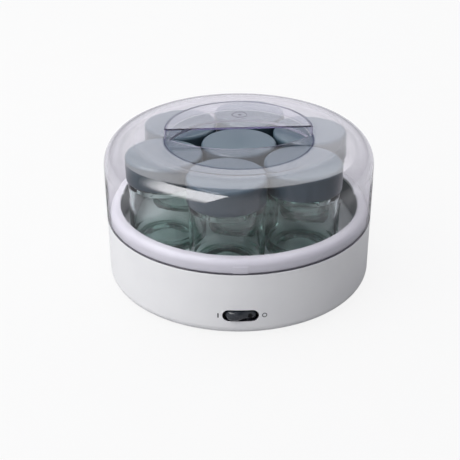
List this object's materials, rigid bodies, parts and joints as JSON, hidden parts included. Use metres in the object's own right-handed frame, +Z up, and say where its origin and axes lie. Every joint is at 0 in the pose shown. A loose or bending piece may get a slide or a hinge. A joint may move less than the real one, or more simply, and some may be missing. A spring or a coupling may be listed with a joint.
{
  "type": "yogurt maker",
  "caption": "Round electric yogurt maker: white heated base with a front rocker switch, capped glass jars in a warming tub, and a clear dome lid with a half-moon grip.",
  "frame": {"origin": "on the table, under the middle of the round base", "axes": "+Z up, front with the switch towards -Y, +X to the right seen from the front"},
  "size_m": [0.24, 0.2453, 0.1395],
  "materials": {
    "white_plastic": "smooth white moulding, slightly glossy",
    "tub_grey": "satin grey moulding",
    "clear_plastic": "clear with a faint lavender tint",
    "jar_glass": "clear soda glass, greenish in the thick parts",
    "cap_grey": "smooth slate-grey moulding",
    "switch_black": "dark grey gloss",
    "lens_dark": "dark lens, unlit",
    "black_rubber": "matte",
    "steel": "zinc plated",
    "aluminium_plate": "mill finish sheet",
    "silicone_mat": "matte silicone with an embedded heating wire",
    "black_phenolic": "moulded phenolic",
    "fuse_metal": "tinned case",
    "block_plastic": "natural nylon",
    "brass_blades": "stamped",
    "lead_insulation": "heat-proof sleeve"
  },
  "bodies": {
    "base": {"housing": "white_plastic", "warming_tub": "tub_grey", "bottom_cover": "white_plastic", "cover_screws": "steel", "heating_plate": "aluminium_plate", "heater_mat": "silicone_mat", "thermostat": "black_phenolic", "thermal_fuse": "fuse_metal", "fuse_clip": "steel", "terminal_block": "block_plastic", "cord_gland": "black_rubber", "switch_body": "black_phenolic", "switch_screws": "steel", "switch_terminals": "brass_blades", "foot_1": "black_rubber", "foot_2": "black_rubber", "foot_3": "black_rubber", "foot_4": "black_rubber", "lead_live": "lead_insulation", "lead_switched": "lead_insulation", "lead_thermostat": "lead_insulation", "lead_heater": "lead_insulation", "lead_neutral": "lead_insulation"},
    "dome": {"dome_lid": "clear_plastic", "lid_grip": "clear_plastic"},
    "rocker": {"rocker": "switch_black", "pilot_lens": "lens_dark"},
    "jar_1": {"jar_1": "jar_glass"},
    "cap_1": {"jar_cap_1": "cap_grey"},
    "jar_2": {"jar_2": "jar_glass"},
    "cap_2": {"jar_cap_2": "cap_grey"},
    "jar_3": {"jar_3": "jar_glass"},
    "cap_3": {"jar_cap_3": "cap_grey"},
    "jar_4": {"jar_4": "jar_glass"},
    "cap_4": {"jar_cap_4": "cap_grey"},
    "jar_5": {"jar_5": "jar_glass"},
    "cap_5": {"jar_cap_5": "cap_grey"},
    "jar_6": {"jar_6": "jar_glass"},
    "cap_6": {"jar_cap_6": "cap_grey"},
    "jar_7": {"jar_7": "jar_glass"},
    "cap_7": {"jar_cap_7": "cap_grey"}
  },
  "joints": [
    {"name": "dome_lift", "type": "slide", "parent": "base", "child": "dome", "axis": [0, 0, 1], "range_m": [0, 0.2]},
    {"name": "rocker_tip", "type": "hinge", "parent": "base", "child": "rocker", "pos_m": [0, -0.1135, 0.0213], "axis": [0, 0, -1], "range_deg": [0, 16]},
    {"name": "jar_1_lift", "type": "slide", "parent": "base", "child": "jar_1", "axis": [0, 0, 1], "range_m": [0, 0.06]},
    {"name": "cap_1_turn", "type": "hinge", "parent": "jar_1", "child": "cap_1", "pos_m": [-0.01087, -0.06864, 0.115], "axis": [0, 0, 1], "range_deg": [0, 90]},
    {"name": "jar_2_lift", "type": "slide", "parent": "base", "child": "jar_2", "axis": [0, 0, 1], "range_m": [0, 0.06]},
    {"name": "cap_2_turn", "type": "hinge", "parent": "jar_2", "child": "cap_2", "pos_m": [0.05401, -0.04374, 0.115], "axis": [0, 0, 1], "range_deg": [0, 90]},
    {"name": "jar_3_lift", "type": "slide", "parent": "base", "child": "jar_3", "axis": [0, 0, 1], "range_m": [0, 0.06]},
    {"name": "cap_3_turn", "type": "hinge", "parent": "jar_3", "child": "cap_3", "pos_m": [0.06488, 0.02491, 0.115], "axis": [0, 0, 1], "range_deg": [0, 90]},
    {"name": "jar_4_lift", "type": "slide", "parent": "base", "child": "jar_4", "axis": [0, 0, 1], "range_m": [0, 0.06]},
    {"name": "cap_4_turn", "type": "hinge", "parent": "jar_4", "child": "cap_4", "pos_m": [0.01087, 0.06864, 0.115], "axis": [0, 0, 1], "range_deg": [0, 90]},
    {"name": "jar_5_lift", "type": "slide", "parent": "base", "child": "jar_5", "axis": [0, 0, 1], "range_m": [0, 0.06]},
    {"name": "cap_5_turn", "type": "hinge", "parent": "jar_5", "child": "cap_5", "pos_m": [-0.05401, 0.04374, 0.115], "axis": [0, 0, 1], "range_deg": [0, 90]},
    {"name": "jar_6_lift", "type": "slide", "parent": "base", "child": "jar_6", "axis": [0, 0, 1], "range_m": [0, 0.06]},
    {"name": "cap_6_turn", "type": "hinge", "parent": "jar_6", "child": "cap_6", "pos_m": [-0.06488, -0.02491, 0.115], "axis": [0, 0, 1], "range_deg": [0, 90]},
    {"name": "jar_7_lift", "type": "slide", "parent": "base", "child": "jar_7", "axis": [0, 0, 1], "range_m": [0, 0.06]},
    {"name": "cap_7_turn", "type": "hinge", "parent": "jar_7", "child": "cap_7", "pos_m": [0, 0, 0.115], "axis": [0, 0, 1], "range_deg": [0, 90]}
  ],
  "couplings": [
    {"joint": "jar_1_lift", "follows": "dome_lift", "ratio": 0.3},
    {"joint": "jar_2_lift", "follows": "dome_lift", "ratio": 0.3},
    {"joint": "jar_3_lift", "follows": "dome_lift", "ratio": 0.3},
    {"joint": "jar_4_lift", "follows": "dome_lift", "ratio": 0.3},
    {"joint": "jar_5_lift", "follows": "dome_lift", "ratio": 0.3},
    {"joint": "jar_6_lift", "follows": "dome_lift", "ratio": 0.3},
    {"joint": "jar_7_lift", "follows": "dome_lift", "ratio": 0.3}
  ]
}
